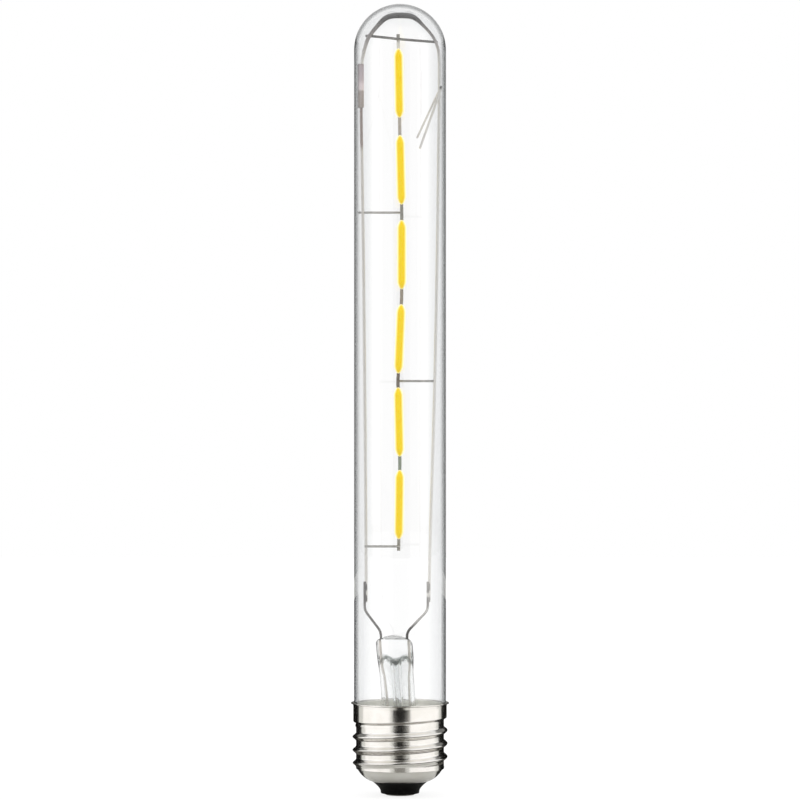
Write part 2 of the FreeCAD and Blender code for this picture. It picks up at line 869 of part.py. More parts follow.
# Wires from the board to the shell and to the contact
def shell_wire():
    """Up past the glass neck, its end bent out against the collar."""
    start_x = board_radius - shell_wire_edge
    gap_x = (neck_radius + (root_radius - cap_wall) * math.cos(math.pi / cap_sides)) / 2
    end_x = collar_inner_radius * math.cos(math.pi / cap_sides) - hook_up_radius
    low, high = shell_wire_steps
    top = place_on([(height, x) for x, height in neck_points(cement_gap)], end_x - hook_up_radius)
    return bent_wire([(start_x, 0, board_foot() - solder_tail), (start_x, 0, board_top() + low),
                      (gap_x, 0, board_top() + high), (gap_x, 0, collar_bottom - shell_wire_drop + collar_slope),
                      (end_x, 0, top - shell_wire_end), (end_x, 0, top)], hook_up_radius, wire_bend / 2)


def contact_wire():
    return turned_rod(hook_up_radius, contact_seat + contact_wire_gap, board_top() + solder_tail, wire_sides)


# Build every piece and write one file for each
def build():
    os.makedirs("parts", exist_ok=True)
    rod = frame_rod_left()
    hairpin = frame_hairpin()
    left_lead = lead_wire(-1, left_foot_x, left_lead_rise, rod)
    right_lead = lead_wire(1, right_foot_x, right_lead_rise, hairpin)
    wire = shell_wire()
    contact_lead = contact_wire()
    resistor = fusible_resistor()
    pieces = {
        "glass_envelope": glass_envelope(),
        "stem_glass": stem_glass([left_lead, right_lead], exhaust_body()),
        "exhaust_tube": exhaust_tube(),
        "lead_wire_left": left_lead,
        "lead_wire_right": right_lead,
        "frame_rod_left": rod,
        "frame_hairpin": hairpin,
        "insulator_tube": insulator_tube(),
        "top_cross_wire": top_cross_wire(),
        "side_wire_upper": side_wire_upper(),
        "side_wire_middle": side_wire_middle(),
        "side_wire_lower": side_wire_lower(),
        "centring_spring": centring_spring(),
        "cap_shell": cap_shell(),
        "cap_insulator": cap_insulator(),
        "centre_contact": centre_contact(),
        "basing_cement": basing_cement(wire),
        "driver_board": driver_board([left_lead, right_lead, wire, contact_lead, resistor]),
        "bridge_rectifier": chip_package(rectifier_size, rectifier_place, 2),
        "driver_chip": chip_package(chip_size, chip_place, 4),
        "smoothing_capacitor": smoothing_capacitor(),
        "fusible_resistor": resistor,
        "shell_wire": wire,
        "contact_wire": contact_lead,
    }
    for number in range(1, len(chain_shape)):
        pieces["filament_%d_strip" % number] = filament_strip(number)
        pieces["filament_%d_coat" % number] = filament_coat(number)
    for name, shape in pieces.items():
        export(name, shape)
    return pieces


pieces = build()
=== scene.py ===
import json
import math

import bpy
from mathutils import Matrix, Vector


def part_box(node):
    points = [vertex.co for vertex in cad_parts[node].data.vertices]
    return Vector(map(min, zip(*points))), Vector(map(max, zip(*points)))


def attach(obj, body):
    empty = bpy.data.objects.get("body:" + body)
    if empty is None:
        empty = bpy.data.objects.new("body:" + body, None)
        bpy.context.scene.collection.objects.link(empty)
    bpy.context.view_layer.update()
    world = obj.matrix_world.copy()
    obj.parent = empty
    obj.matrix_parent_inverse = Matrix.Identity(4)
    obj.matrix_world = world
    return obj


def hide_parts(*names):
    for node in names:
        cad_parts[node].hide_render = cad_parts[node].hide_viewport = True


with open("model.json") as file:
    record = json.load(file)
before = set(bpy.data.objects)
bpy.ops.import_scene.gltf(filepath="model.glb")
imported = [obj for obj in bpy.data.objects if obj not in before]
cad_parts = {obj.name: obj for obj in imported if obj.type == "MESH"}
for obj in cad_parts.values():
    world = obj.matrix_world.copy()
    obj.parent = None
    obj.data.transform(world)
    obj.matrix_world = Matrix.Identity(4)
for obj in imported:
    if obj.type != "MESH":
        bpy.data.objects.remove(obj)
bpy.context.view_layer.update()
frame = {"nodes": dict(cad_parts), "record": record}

mm = 0.001  # every size below is in millimetres


def lin(hexColour):  # sRGB hex to the linear colour that the nodes take
    parts = [int(hexColour[i:i + 2], 16) / 255 for i in (0, 2, 4)]
    return tuple(p / 12.92 if p <= 0.04045 else ((p + 0.055) / 1.055) ** 2.4 for p in parts) + (1.0,)


def perMm(size):  # texture scale for a pattern of this many millimetres, on Object coordinates
    return 1000.0 / size


# tones are a colour ramp's places and hex colours
def addNode(tree, kind, values=None, links=None, tones=()):
    node = tree.nodes.new(kind)
    for key, value in (values or {}).items():
        if isinstance(key, int) or key in node.inputs:
            node.inputs[key].default_value = value
        else:
            setattr(node, key, value)
    for key, source in (links or {}).items():
        tree.links.new(source, node.inputs[key])
    for number, (place, shade) in enumerate(tones):
        elements = node.color_ramp.elements
        element = elements[number] if number < 2 else elements.new(place)
        element.position = place
        element.color = lin(shade)
    return node


def newMaterial(name, values):
    material = bpy.data.materials.new(name)
    material.use_nodes = True
    tree = material.node_tree
    shader = tree.nodes["Principled BSDF"]
    for key, value in values.items():
        shader.inputs[key].default_value = value
    return material, tree, shader


def bareMaterial(name):
    material = bpy.data.materials.new(name)
    material.use_nodes = True
    material.node_tree.nodes.clear()
    return material, material.node_tree


def selectOnly(piece):
    bpy.ops.object.select_all(action="DESELECT")
    piece.select_set(True)
    bpy.context.view_layer.objects.active = piece


def ringPoints(centreX, centreZ, radius, fromAngle, toAngle, steps):
    points = []
    for step in range(steps + 1):
        turn = math.radians(fromAngle + (toAngle - fromAngle) * step / steps)
        points.append((centreX + radius * math.cos(turn), centreZ + radius * math.sin(turn)))
    return points


def smooth(value, low, high):  # 0 below low, 1 above high, an even S between them
    share = min(max((value - low) / (high - low), 0), 1)
    return share * share * (3 - 2 * share)


def startRing(name, sides, radius, height):
    bpy.ops.object.select_all(action="DESELECT")
    bpy.ops.mesh.primitive_circle_add(vertices=sides, radius=radius * mm, location=(0, 0, height * mm))
    piece = bpy.context.object
    piece.name = name
    piece.data.name = name
    bpy.ops.object.transform_apply(location=True, rotation=True, scale=True)
    bpy.ops.object.mode_set(mode="EDIT")
    bpy.ops.mesh.select_all(action="SELECT")
    return piece


def growRings(start, rings):  # each ring is its half width, half thickness, height and middle x
    width, depth, height, middle = start
    for newWidth, newDepth, newHeight, newMiddle in rings:
        move = ((newMiddle - middle) * mm, 0, (newHeight - height) * mm)
        bpy.ops.mesh.extrude_region_move(TRANSFORM_OT_translate={"value": move})
        bpy.ops.transform.resize(value=(newWidth / width, newDepth / depth, 1),
                                 center_override=(newMiddle * mm, 0, newHeight * mm))
        width, depth, height, middle = newWidth, newDepth, newHeight, newMiddle


def growRound(start, points):  # each point is a radius and a height
    growRings((start[0], start[0], start[1], 0), [(r, r, z, 0) for r, z in points])


def pickRing(piece, radius, height):  # selects the ring at this place, by its vertices
    bpy.ops.mesh.select_all(action="DESELECT")
    bpy.ops.object.mode_set(mode="OBJECT")
    for vertex in piece.data.vertices:
        x, y, z = vertex.co
        vertex.select = abs(z - height * mm) < 1e-6 and abs(math.hypot(x, y) - radius * mm) < 1e-6
    bpy.ops.object.mode_set(mode="EDIT")


def closeUp(piece, smoothAngle):
    bpy.ops.mesh.select_all(action="SELECT")
    bpy.ops.mesh.remove_doubles(threshold=1e-6)
    bpy.ops.mesh.normals_make_consistent(inside=False)
    bpy.ops.object.mode_set(mode="OBJECT")
    selectOnly(piece)
    bpy.ops.object.shade_smooth_by_angle(angle=math.radians(smoothAngle))


def applyModifier(piece, kind, **values):
    selectOnly(piece)
    modifier = piece.modifiers.new(kind.title(), kind)
    for key, value in values.items():
        setattr(modifier, key, value)
    bpy.ops.object.modifier_apply(modifier=modifier.name)


def finishPiece(piece, material, slot, *nodes):
    piece.data.materials.clear()
    piece.data.materials.append(material)
    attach(piece, "root")
    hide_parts(*nodes)


# Camera: straight on, at half the lamp's height, from about a metre.
view = {"distance": 1000.0, "height": 108.9, "lens": 163.3, "sensor": 36}

cameraData = bpy.data.cameras.new("camera")
cameraData.lens = view["lens"]
cameraData.sensor_width = view["sensor"]
camera = bpy.data.objects.new("camera", cameraData)
camera.location = (0, -view["distance"] * mm, view["height"] * mm)
camera.rotation_euler = (math.radians(90), 0, 0)
bpy.context.scene.collection.objects.link(camera)
bpy.context.scene.camera = camera

bpy.context.scene.view_settings.view_transform = "Standard"
print("camera done")

# Studio: white all round, a pale floor, soft boxes and cards.
studio = {
    "skyLevel": 1.08,           # what lights the object; the glass takes a part of it
    "floorSize": 3000.0,
    "floorColour": "d8d8d4",    # what metal and glass mirror
    "floorShadow": 0.2,         # how much of the light the seen floor takes, so that a shadow shows
    "floorWhite": 0.84,         # brings the seen floor back to white outside the shadow
    "softBoxPower": 0.35,
    "softBoxSize": (500.0, 700.0),
    "softBoxColour": (1.0, 0.97, 0.92),
    "softBoxPlace": (750.0, -350.0, 350.0),
    "softBoxAim": 80.0,
    "cardSides": 360,
}

world = bpy.data.worlds.new("studio")
bpy.context.scene.world = world
world.use_nodes = True
tree = world.node_tree
tree.nodes.clear()
path = addNode(tree, "ShaderNodeLightPath")
seen = addNode(tree, "ShaderNodeMath", {"operation": "MAXIMUM"},
               {0: path.outputs["Is Camera Ray"], 1: path.outputs["Is Glossy Ray"]})
seen = addNode(tree, "ShaderNodeMath", {"operation": "MAXIMUM"},
               {0: seen.outputs[0], 1: path.outputs["Is Transmission Ray"]})
level = addNode(tree, "ShaderNodeMapRange", {"To Min": studio["skyLevel"], "To Max": 1.0},
                {"Value": seen.outputs[0]})
sky = addNode(tree, "ShaderNodeBackground", {"Color": (1, 1, 1, 1)}, {"Strength": level.outputs[0]})
addNode(tree, "ShaderNodeOutputWorld", {}, {"Surface": sky.outputs[0]})

# floor: white to the eye with the lamp's soft shadow, its own grey to whatever mirrors it
bpy.ops.object.select_all(action="DESELECT")
bpy.ops.mesh.primitive_plane_add(size=studio["floorSize"] * mm, location=(0, 0, 0))
floor = bpy.context.object
floor.name = "floor"
floorMaterial, tree = bareMaterial("paleFloor")
path = addNode(tree, "ShaderNodeLightPath")
seen = addNode(tree, "ShaderNodeMath", {"operation": "MAXIMUM"},
               {0: path.outputs["Is Camera Ray"], 1: path.outputs["Is Transmission Ray"]})
plainFloor = addNode(tree, "ShaderNodeBsdfDiffuse", {"Color": lin(studio["floorColour"])})
shadowFloor = addNode(tree, "ShaderNodeBsdfDiffuse", {"Color": (studio["floorShadow"],) * 3 + (1,)})
whiteFloor = addNode(tree, "ShaderNodeEmission", {"Color": (1, 1, 1, 1), "Strength": studio["floorWhite"]})
seenFloor = addNode(tree, "ShaderNodeAddShader", {}, {0: shadowFloor.outputs[0], 1: whiteFloor.outputs[0]})
floorMix = addNode(tree, "ShaderNodeMixShader", {},
                   {0: seen.outputs[0], 1: plainFloor.outputs[0], 2: seenFloor.outputs[0]})
addNode(tree, "ShaderNodeOutputMaterial", {}, {"Surface": floorMix.outputs[0]})
floor.data.materials.append(floorMaterial)

# soft boxes left and right of the camera, which make the cap's two broad highlights
for side in (-1, 1):
    lampData = bpy.data.lights.new("softBox", "AREA")
    lampData.shape = "RECTANGLE"
    lampData.size, lampData.size_y = (size * mm for size in studio["softBoxSize"])
    lampData.energy = studio["softBoxPower"]
    lampData.color = studio["softBoxColour"]
    lamp = bpy.data.objects.new("softBox", lampData)
    x, y, z = studio["softBoxPlace"]
    lamp.location = (side * x * mm, y * mm, z * mm)
    aim = Vector((0, 0, studio["softBoxAim"] * mm)) - lamp.location
    lamp.rotation_euler = aim.to_track_quat("-Z", "Y").to_euler()
    bpy.context.scene.collection.objects.link(lamp)

# cards that only reflections see: dark at the camera, on the floor before it and behind, white at both sides
# name: from and to angle round the lamp (camera at 0), inner and outer distance, foot and top, shade, level
cards = {
    "frontCard": (-17, 17, 150, 150, 0.5, 235, "151412", 1.0),
    "frontRightCard": (17, 24, 150, 150, 0.5, 235, "8d8b85", 1.0),
    "frontNearCard": (-7.5, 7.5, 40, 40, 7.5, 19.5, "0f0e0d", 1.0),
    "frontUpperCard": (-11, 11, 60, 60, 60, 200, "77756f", 1.0),
    "floorCard": (-13, 13, 30, 150, 0.4, 0.4, "9d9b95", 1.0),
    "floorLine": (-14, 14, 22, 28, 0.4, 0.4, "1a1918", 1.0),
    "skirtCard": (-118, 118, 13.7, 22, 8.5, 8.5, "5c5954", 1.0),
    "leftCard": (-101, -24, 200, 200, 0.5, 60, "fffdfb", 1.25),
    "rightCard": (24, 108, 200, 200, 0.5, 60, "fffdfb", 1.25),
    "leftFloorCard": (-100, -24, 45, 200, 0.4, 0.4, "fffdfb", 1.15),
    "rightFloorCard": (24, 100, 45, 200, 0.4, 0.4, "fffdfb", 1.15),
    "backNearCard": (102, 258, 32, 32, 0.5, 28, "141312", 1.0),
    "backFloorCard": (105, 255, 16, 32, 0.4, 0.4, "2a2926", 1.0),
    "backCardLow": (122, 238, 150, 150, 0.5, 45, "1b1a18", 1.0),
    "backCardHigh": (118, 242, 270, 270, 45, 260, "7c7c7a", 1.0),
}

for name, (fromAngle, toAngle, inner, outer, foot, top, shade, glowLevel) in cards.items():
    material, tree = bareMaterial(name)
    glow = addNode(tree, "ShaderNodeEmission", {"Color": lin(shade), "Strength": glowLevel})
    addNode(tree, "ShaderNodeOutputMaterial", {}, {"Surface": glow.outputs[0]})
    card = startRing(name, studio["cardSides"], inner, foot)
    growRound((inner, foot), [(outer, top)])
    bpy.ops.mesh.select_mode(type="FACE")
    bpy.ops.mesh.select_all(action="DESELECT")
    bpy.ops.object.mode_set(mode="OBJECT")
    for polygon in card.data.polygons:
        around = math.degrees(math.atan2(polygon.center.x, -polygon.center.y))
        around += 360 if around < fromAngle else 0
        polygon.select = not fromAngle <= around <= toAngle
    bpy.ops.object.mode_set(mode="EDIT")
    bpy.ops.mesh.delete(type="FACE")
    bpy.ops.mesh.select_mode(type="VERT")
    bpy.ops.object.mode_set(mode="OBJECT")
    card.data.materials.append(material)
    card.visible_camera = False
    card.visible_diffuse = False
    card.visible_transmission = False
    card.visible_shadow = False

print("studio done")


# lamps and soft light pass through the glass, so that its inside is lit; a thin part lets the eye through too
def lampsThrough(tree, shader, thinShare=None):
    path = addNode(tree, "ShaderNodeLightPath")
    light = addNode(tree, "ShaderNodeMath", {"operation": "MAXIMUM"},
                    {0: path.outputs["Is Shadow Ray"], 1: path.outputs["Is Diffuse Ray"]})
    if thinShare:
        light = addNode(tree, "ShaderNodeMath", {"operation": "MAXIMUM"}, {0: light.outputs[0], 1: thinShare})
    clear = addNode(tree, "ShaderNodeBsdfTransparent", {"Color": (0.97, 0.97, 0.97, 1)})
    both = addNode(tree, "ShaderNodeMixShader", {},
                   {0: light.outputs[0], 1: shader.outputs[0], 2: clear.outputs[0]})
    tree.links.new(both.outputs[0], tree.nodes["Material Output"].inputs["Surface"])


# Soda-lime tube, drawn and flame worked: clear in the middle, with painted shade where the eye looks along the
# wall.
# The painted dark edge is on the outer skin only, which is told from the inner one by its distance from the
# axis.
edgeShadeSkin = {"waviness": 0.04, "waves": 30, "domeCentre": 205.4, "inner": 11.9, "outer": 12.3,
             "innerLimit": 0.52}

drawnGlass, tree, shader = newMaterial("sodaLimeGlass", {
    "Roughness": 0.0, "IOR": 1.52, "Transmission Weight": 1.0})
facing = addNode(tree, "ShaderNodeLayerWeight", {"Blend": 0.5})
place = addNode(tree, "ShaderNodeTexCoord")
draw = addNode(tree, "ShaderNodeMapping", {"Scale": (1, 1, 0.2)}, {"Vector": place.outputs["Object"]})
waves = addNode(tree, "ShaderNodeTexNoise", {"Scale": perMm(edgeShadeSkin["waves"]), "Detail": 1.0},
                {"Vector": draw.outputs[0]})
unevenEdgeShade = addNode(tree, "ShaderNodeMath", {"operation": "MULTIPLY_ADD", 1: edgeShadeSkin["waviness"]},
                 {0: waves.outputs[0], 2: facing.outputs["Facing"]})
axes = addNode(tree, "ShaderNodeSeparateXYZ", {}, {0: place.outputs["Object"]})
overDome = addNode(tree, "ShaderNodeMath", {"operation": "SUBTRACT", 1: edgeShadeSkin["domeCentre"] * mm},
                   {0: axes.outputs[2]})
overDome = addNode(tree, "ShaderNodeMath", {"operation": "MAXIMUM", 1: 0.0}, {0: overDome.outputs[0]})
fromAxis = addNode(tree, "ShaderNodeCombineXYZ", {},
                   {0: axes.outputs[0], 1: axes.outputs[1], 2: overDome.outputs[0]})
fromAxis = addNode(tree, "ShaderNodeVectorMath", {"operation": "LENGTH"}, {0: fromAxis.outputs[0]})
edgeShadeLimit = addNode(tree, "ShaderNodeMapRange", {
    "From Min": edgeShadeSkin["inner"] * mm, "From Max": edgeShadeSkin["outer"] * mm,
    "To Min": edgeShadeSkin["innerLimit"]}, {"Value": fromAxis.outputs["Value"]})
paintedEdgeShade = addNode(tree, "ShaderNodeMath", {"operation": "MINIMUM"},
                   {0: unevenEdgeShade.outputs[0], 1: edgeShadeLimit.outputs[0]})
# painted shade: the colour darkens as the eye looks along the glass, standing in for its dark edge
paintedEdgeTone = addNode(tree, "ShaderNodeValToRGB", {}, {"Fac": paintedEdgeShade.outputs[0]}, (
    (0.21, "fefefe"), (0.30, "f5f6f6"), (0.42, "ecedee"), (0.57, "e6e7e8"), (0.63, "a8aaab"),
    (0.69, "7e8081"), (0.765, "4c4e4f"), (0.97, "3a3c3d")))
tree.links.new(paintedEdgeTone.outputs[0], shader.inputs["Base Color"])
lampsThrough(tree, shader)

# Lead glass of the stem, pressed while soft: uneven faces, painted shade where the eye looks along the glass,
# and a painted dark wavy band of shade where it met the tube.
sealShadeAndThinTop = {
    "sealHeight": 37.4, "sealSwing": 0.8, "sealWave": 5, "sealShift": 1.2, "ragged": 1.2,
    "sealSolid": 0.3, "sealFaded": 0.85, "thinFrom": 42.9, "thinTo": 43.3, "thinShare": 0.8,
}

pressedGlass, tree, shader = newMaterial("pressedStemGlass", {
    "Roughness": 0.02, "IOR": 1.55, "Transmission Weight": 1.0})
facing = addNode(tree, "ShaderNodeLayerWeight", {"Blend": 0.5})
# painted shade: the colour darkens as the eye looks along the glass
paintedEdgeTone = addNode(tree, "ShaderNodeValToRGB", {}, {"Fac": facing.outputs["Facing"]},
                   ((0.50, "fcfdfd"), (0.86, "7d8483")))
place = addNode(tree, "ShaderNodeTexCoord")
axes = addNode(tree, "ShaderNodeSeparateXYZ", {}, {0: place.outputs["Object"]})
around = addNode(tree, "ShaderNodeMath", {
    "operation": "MULTIPLY_ADD", 1: math.tau / (sealShadeAndThinTop["sealWave"] * mm),
    2: sealShadeAndThinTop["sealShift"] / sealShadeAndThinTop["sealWave"] * math.tau}, {0: axes.outputs[0]})
fold = addNode(tree, "ShaderNodeMath", {"operation": "COSINE"}, {0: around.outputs[0]})
sealShadeWave = addNode(tree, "ShaderNodeMath", {
    "operation": "MULTIPLY_ADD", 1: sealShadeAndThinTop["sealSwing"] * mm, 2: -sealShadeAndThinTop["sealHeight"] * mm},
    {0: fold.outputs[0]})
waves = addNode(tree, "ShaderNodeTexNoise", {"Scale": perMm(2.6), "Detail": 2.0},
                {"Vector": place.outputs["Object"]})
ragged = addNode(tree, "ShaderNodeMath", {"operation": "MULTIPLY_ADD", 1: sealShadeAndThinTop["ragged"] * mm},
                 {0: waves.outputs[0], 2: axes.outputs[2]})
fromLine = addNode(tree, "ShaderNodeMath", {"operation": "ADD"},
                   {0: sealShadeWave.outputs[0], 1: ragged.outputs[0]})
offLine = addNode(tree, "ShaderNodeMath", {"operation": "SUBTRACT", 1: sealShadeAndThinTop["ragged"] / 2 * mm},
                  {0: fromLine.outputs[0]})
offLine = addNode(tree, "ShaderNodeMath", {"operation": "ABSOLUTE"}, {0: offLine.outputs[0]})
# painted shade: a dark wavy band along the seal, ragged at its edges
paintedSealShade = addNode(tree, "ShaderNodeMapRange", {
    "From Min": sealShadeAndThinTop["sealSolid"] * mm, "From Max": sealShadeAndThinTop["sealFaded"] * mm, "To Min": 1.0,
    "To Max": 0.0}, {"Value": offLine.outputs[0]})
tone = addNode(tree, "ShaderNodeMix", {"data_type": "RGBA", 7: lin("8f9693")},
               {0: paintedSealShade.outputs[0], 6: paintedEdgeTone.outputs[0]})
tree.links.new(tone.outputs[2], shader.inputs["Base Color"])
thinTop = addNode(tree, "ShaderNodeMapRange", {
    "From Min": sealShadeAndThinTop["thinFrom"] * mm, "From Max": sealShadeAndThinTop["thinTo"] * mm,
    "To Max": sealShadeAndThinTop["thinShare"]}, {"Value": axes.outputs[2]})
bump = addNode(tree, "ShaderNodeBump", {"Strength": 0.12, "Distance": 0.3 * mm}, {"Height": waves.outputs[0]})
tree.links.new(bump.outputs[0], shader.inputs["Normal"])
lampsThrough(tree, shader, thinTop.outputs[0])

# Bright nickel plate on rolled brass: mirrors the studio, a little soft, with fine rolling marks round it.
# The real marks are finer than the 0.5 mm drawn here.
nickelPlate, tree, shader = newMaterial("brightNickelPlate", {"Metallic": 1.0})
place = addNode(tree, "ShaderNodeTexCoord")
stretch = addNode(tree, "ShaderNodeMapping", {"Scale": (0.12, 0.12, 1)}, {"Vector": place.outputs["Object"]})
marks = addNode(tree, "ShaderNodeTexNoise", {"Scale": perMm(0.5), "Detail": 4.0},
                {"Vector": stretch.outputs[0]})
cloud = addNode(tree, "ShaderNodeTexNoise", {"Scale": perMm(5), "Detail": 3.0},
                {"Vector": place.outputs["Object"]})
tone = addNode(tree, "ShaderNodeValToRGB", {}, {"Fac": cloud.outputs[0]},
               ((0.35, "e5e3de"), (0.70, "f0eeeb")))
tree.links.new(tone.outputs[0], shader.inputs["Base Color"])
gloss = addNode(tree, "ShaderNodeMapRange", {"To Min": 0.13, "To Max": 0.21}, {"Value": cloud.outputs[0]})
tree.links.new(gloss.outputs[0], shader.inputs["Roughness"])
bump = addNode(tree, "ShaderNodeBump", {"Strength": 0.12, "Distance": 0.05 * mm},
               {"Height": marks.outputs[0]})
tree.links.new(bump.outputs[0], shader.inputs["Normal"])

# Yellow phosphor powder in clear silicone: dense yellow, paler where it thins out at the edges, with a painted
# glow: a faint emission all over, and a painted pale halo that glows brighter at the edges.
phosphor, tree, shader = newMaterial("phosphorSilicone", {
    "Roughness": 0.55, "IOR": 1.41, "Specular IOR Level": 0.05, "Subsurface Weight": 0.1,
    "Subsurface Scale": 0.4 * mm, "Subsurface Radius": (1.0, 0.75, 0.1)})
place = addNode(tree, "ShaderNodeTexCoord")
grain = addNode(tree, "ShaderNodeTexNoise", {"Scale": perMm(0.7), "Detail": 5.0},
                {"Vector": place.outputs["Object"]})
tone = addNode(tree, "ShaderNodeValToRGB", {}, {"Fac": grain.outputs[0]},
               ((0.30, "ffd600"), (0.72, "ffe400")))
edge = addNode(tree, "ShaderNodeLayerWeight", {"Blend": 0.5})
thinEdgeAndHalo = addNode(tree, "ShaderNodeMapRange", {"From Min": 0.14, "From Max": 0.52, "To Max": 0.95},
               {"Value": edge.outputs["Facing"]})
# painted halo: paler towards the edges as the eye looks along the coat
mix = addNode(tree, "ShaderNodeMix", {"data_type": "RGBA", 7: lin("fff6b8")},
              {0: thinEdgeAndHalo.outputs[0], 6: tone.outputs[0]})
tree.links.new(mix.outputs[2], shader.inputs["Base Color"])
# painted glow: emission, faint all over and brighter at the edges
glow = addNode(tree, "ShaderNodeMix", {"data_type": "RGBA", 6: lin("ffb900"), 7: lin("fff6c4")},
               {0: thinEdgeAndHalo.outputs[0]})
tree.links.new(glow.outputs[2], shader.inputs["Emission Color"])
paintedGlowStrength = addNode(tree, "ShaderNodeMapRange", {"To Min": 0.06, "To Max": 0.4}, {"Value": thinEdgeAndHalo.outputs[0]})
tree.links.new(paintedGlowStrength.outputs[0], shader.inputs["Emission Strength"])
bump = addNode(tree, "ShaderNodeBump", {"Strength": 0.15, "Distance": 0.05 * mm},
               {"Height": grain.outputs[0]})
tree.links.new(bump.outputs[0], shader.inputs["Normal"])

# Phenolic, moulded: near black, with a dull even skin.
blackMoulding, tree, shader = newMaterial("blackPhenolicMoulding",
                                          {"Roughness": 0.5, "Specular IOR Level": 0.1})
place = addNode(tree, "ShaderNodeTexCoord")
skin = addNode(tree, "ShaderNodeTexNoise", {"Scale": perMm(0.6), "Detail": 3.0},
               {"Vector": place.outputs["Object"]})
tone = addNode(tree, "ShaderNodeValToRGB", {}, {"Fac": skin.outputs[0]}, ((0.0, "040404"), (1.0, "0a0a09")))
tree.links.new(tone.outputs[0], shader.inputs["Base Color"])
bump = addNode(tree, "ShaderNodeBump", {"Strength": 0.2, "Distance": 0.05 * mm}, {"Height": skin.outputs[0]})
tree.links.new(bump.outputs[0], shader.inputs["Normal"])

slotMaterials = {
    "clear_glass": drawnGlass, "stem_glass": pressedGlass, "phosphor_coat": phosphor,
    "nickel_plate": nickelPlate, "black_insulator": blackMoulding,
}

# Finishes whose tone and gloss only cloud a little, each on its slot:
# name, dark and pale tone, metallic, roughness, size of the grain in mm, depth of the bump
plainFinishes = {
    # wires, drawn through dies and annealed or tinned: soft shine, faint streaks
    "frame_wire": ("drawnNickelWire", "b9b7b2", "d6d4cf", 1.0, 0.30, 0.9, 0.10),
    "support_wire": ("annealedNickelWire", "9a9894", "b8b6b1", 1.0, 0.34, 0.9, 0.10),
    "hook_up_wire": ("tinnedCopperWire", "b3b0aa", "cbc9c4", 1.0, 0.30, 0.7, 0.10),
    # contact button, tinned: duller than the cap
    "contact_metal": ("tinnedContactBrass", "a9a49a", "c4c0b6", 1.0, 0.35, 1.2, 0.20),
    # fired, cured and moulded stuff: matt, grainy
    "insulator_ceramic": ("unglazedCeramic", "8c7771", "b3a09a", 0.0, 0.65, 0.9, 0.30),
    "cement": ("curedBasingCement", "eeede0", "fafaf0", 0.0, 0.90, 0.8, 0.60),
    "moulded_package": ("mouldedEpoxy", "1b1b1c", "29292a", 0.0, 0.55, 0.4, 0.20),
    "resistor_coat": ("cementCoatedResistor", "5d7d5e", "789a77", 0.0, 0.60, 0.7, 0.25),
    # smooth coats: an even satin
    "board": ("whiteSolderMask", "dfe0da", "ecede8", 0.0, 0.35, 2.0, 0.05),
    "capacitor_sleeve": ("shrunkSleeve", "1c2230", "272e40", 0.0, 0.30, 1.5, 0.08),
}

for slot, (name, darkTone, paleTone, metal, rough, size, depth) in plainFinishes.items():
    material, tree, shader = newMaterial(name, {"Metallic": metal})
    place = addNode(tree, "ShaderNodeTexCoord")
    grain = addNode(tree, "ShaderNodeTexNoise", {"Scale": perMm(size), "Detail": 4.0},
                    {"Vector": place.outputs["Object"]})
    tone = addNode(tree, "ShaderNodeValToRGB", {}, {"Fac": grain.outputs[0]},
                   ((0.3, darkTone), (0.7, paleTone)))
    tree.links.new(tone.outputs[0], shader.inputs["Base Color"])
    gloss = addNode(tree, "ShaderNodeMapRange", {"To Min": rough - 0.06, "To Max": rough + 0.06},
                    {"Value": grain.outputs[0]})
    tree.links.new(gloss.outputs[0], shader.inputs["Roughness"])
    bump = addNode(tree, "ShaderNodeBump", {"Strength": depth, "Distance": 0.05 * mm},
                   {"Height": grain.outputs[0]})
    tree.links.new(bump.outputs[0], shader.inputs["Normal"])
    slotMaterials[slot] = material

